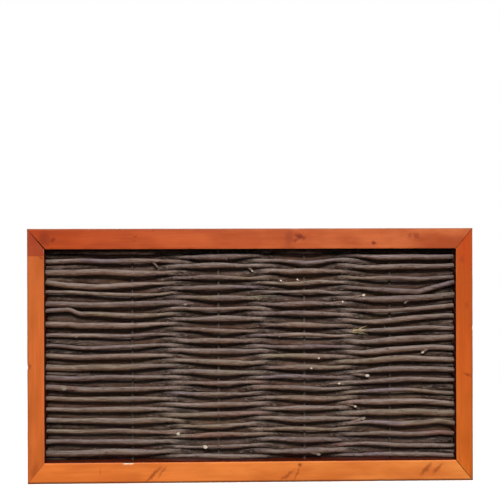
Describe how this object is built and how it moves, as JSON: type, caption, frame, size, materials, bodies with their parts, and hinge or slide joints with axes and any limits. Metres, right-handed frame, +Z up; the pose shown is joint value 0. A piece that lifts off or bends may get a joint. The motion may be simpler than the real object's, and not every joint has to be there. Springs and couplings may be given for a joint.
{
  "type": "woven willow hurdle",
  "caption": "Fence panel of unpeeled willow rods woven round upright steel stakes, in a mitred frame of stained softwood boards that stands or is fixed between posts.",
  "frame": {"origin": "on the surface that the panel stands on, under the middle of the panel", "axes": "+X along the panel to the right, +Y from the front to the back, +Z up"},
  "size_m": [1.8, 0.09, 1.025],
  "materials": {
    "stained_softwood": "planed softwood boards with an orange-brown translucent stain",
    "willow_bark": "unpeeled willow, dry grey-brown bark",
    "stake_steel": "round steel bar, dull grey",
    "screw_steel": "yellow zinc-plated wood screws"
  },
  "bodies": {
    "root": {"bottom_rail": "stained_softwood", "corner_screws": "screw_steel", "left_stile": "stained_softwood", "right_stile": "stained_softwood", "stake_1": "stake_steel", "stake_2": "stake_steel", "stake_3": "stake_steel", "stake_4": "stake_steel", "top_rail": "stained_softwood", "willow_rod_01": "willow_bark", "willow_rod_02": "willow_bark", "willow_rod_03": "willow_bark", "willow_rod_04": "willow_bark", "willow_rod_05": "willow_bark", "willow_rod_06": "willow_bark", "willow_rod_07": "willow_bark", "willow_rod_08": "willow_bark", "willow_rod_09": "willow_bark", "willow_rod_10": "willow_bark", "willow_rod_11": "willow_bark", "willow_rod_12": "willow_bark", "willow_rod_13": "willow_bark", "willow_rod_14": "willow_bark", "willow_rod_15": "willow_bark", "willow_rod_16": "willow_bark", "willow_rod_17": "willow_bark", "willow_rod_18": "willow_bark", "willow_rod_19": "willow_bark", "willow_rod_20": "willow_bark", "willow_rod_21": "willow_bark", "willow_rod_22": "willow_bark", "willow_rod_23": "willow_bark", "willow_rod_24": "willow_bark", "willow_rod_25": "willow_bark", "willow_rod_26": "willow_bark", "willow_rod_27": "willow_bark", "willow_rod_28": "willow_bark", "willow_rod_29": "willow_bark", "willow_rod_30": "willow_bark", "willow_rod_31": "willow_bark", "willow_rod_32": "willow_bark", "willow_rod_33": "willow_bark", "willow_rod_34": "willow_bark", "willow_rod_35": "willow_bark", "willow_rod_36": "willow_bark", "willow_rod_37": "willow_bark", "willow_rod_38": "willow_bark", "willow_rod_39": "willow_bark", "willow_rod_40": "willow_bark"}
  },
  "joints": []
}
